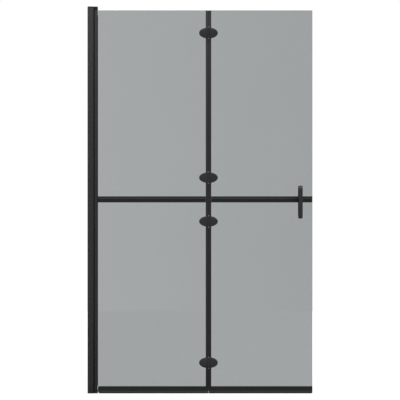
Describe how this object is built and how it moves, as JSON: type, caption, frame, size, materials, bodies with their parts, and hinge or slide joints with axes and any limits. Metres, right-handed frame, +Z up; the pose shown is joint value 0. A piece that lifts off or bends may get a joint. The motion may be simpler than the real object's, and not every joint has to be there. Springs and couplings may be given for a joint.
{
  "type": "folding walk-in shower screen",
  "caption": "Wall-hung shower screen of grey tinted glass with black profiles, a middle rail, oval hinges and a bow handle; it swings at the wall and folds in half.",
  "frame": {"origin": "on the wall plane at the bottom edge of the wall channel's back face, level with the shower tray, in the middle plane of the glass", "axes": "+X from the wall along the open screen to its free edge, +Y from the front to the back, +Z up"},
  "size_m": [1.105, 0.078, 1.9],
  "materials": {
    "black_profile": "matte black powder coat",
    "black_fitting": "matte black powder coat",
    "black_plastic": "matte",
    "seal_strip": "satin extruded vinyl",
    "gasket_rubber": "matte",
    "nylon": "black bearing plastic",
    "steel": "turned",
    "black_screw": "black oxide",
    "grey_glass": "clear grey tint, polished"
  },
  "bodies": {
    "wall_channel": {"wall_channel": "black_profile"},
    "carrier": {"carrier_profile": "black_profile", "top_cap": "black_plastic", "bottom_bearing": "black_plastic", "pivot_pin_top": "steel", "pivot_pin_bottom": "steel", "thrust_washer": "nylon", "cap_screws": "black_screw", "adjusting_screws": "black_screw"},
    "inner_leaf": {"pivot_profile": "black_profile", "pivot_bush_top": "nylon", "pivot_bush_bottom": "nylon", "post_gasket": "gasket_rubber", "glass_inner_upper": "grey_glass", "glass_inner_lower": "grey_glass", "mid_rail_inner": "black_profile", "mid_gasket_inner": "gasket_rubber", "bottom_rail_inner": "black_profile", "bottom_gasket_inner": "gasket_rubber", "bottom_seal_inner": "gasket_rubber", "fold_seal_inner": "seal_strip", "hinge_1_front_inner": "black_fitting", "hinge_2_front_inner": "black_fitting", "hinge_3_front_inner": "black_fitting", "hinge_4_front_inner": "black_fitting", "hinge_1_back_inner": "black_fitting", "hinge_2_back_inner": "black_fitting", "hinge_3_back_inner": "black_fitting", "hinge_4_back_inner": "black_fitting", "hinge_pins": "steel", "hinge_washers": "nylon", "hinge_screws_inner": "black_screw", "hinge_gaskets_inner": "gasket_rubber"},
    "outer_leaf": {"glass_outer_upper": "grey_glass", "glass_outer_lower": "grey_glass", "mid_rail_outer": "black_profile", "mid_rail_end_cap": "black_plastic", "mid_gasket_outer": "gasket_rubber", "bottom_rail_outer": "black_profile", "bottom_rail_end_cap": "black_plastic", "bottom_rail_fold_plug": "black_plastic", "bottom_gasket_outer": "gasket_rubber", "bottom_seal_outer": "gasket_rubber", "fold_seal_outer": "seal_strip", "hinge_1_front_outer": "black_fitting", "hinge_2_front_outer": "black_fitting", "hinge_3_front_outer": "black_fitting", "hinge_4_front_outer": "black_fitting", "hinge_1_back_outer": "black_fitting", "hinge_2_back_outer": "black_fitting", "hinge_3_back_outer": "black_fitting", "hinge_4_back_outer": "black_fitting", "hinge_screws_outer": "black_screw", "hinge_gaskets_outer": "gasket_rubber", "handle_front": "black_fitting", "handle_back": "black_fitting", "handle_studs": "steel", "handle_sleeves": "nylon", "handle_washers": "nylon"}
  },
  "joints": [
    {"name": "width_adjust", "type": "slide", "parent": "wall_channel", "child": "carrier", "axis": [1, 0, 0], "range_m": [0, 0.015]},
    {"name": "wall_pivot", "type": "hinge", "parent": "carrier", "child": "inner_leaf", "pos_m": [0.0405, 0, 0.95], "axis": [0, 0, 1], "range_deg": [-90, 90]},
    {"name": "leaf_fold", "type": "hinge", "parent": "inner_leaf", "child": "outer_leaf", "pos_m": [0.5941, -0.0125, 0.95], "axis": [0, 0, -1], "range_deg": [0, 175]}
  ]
}
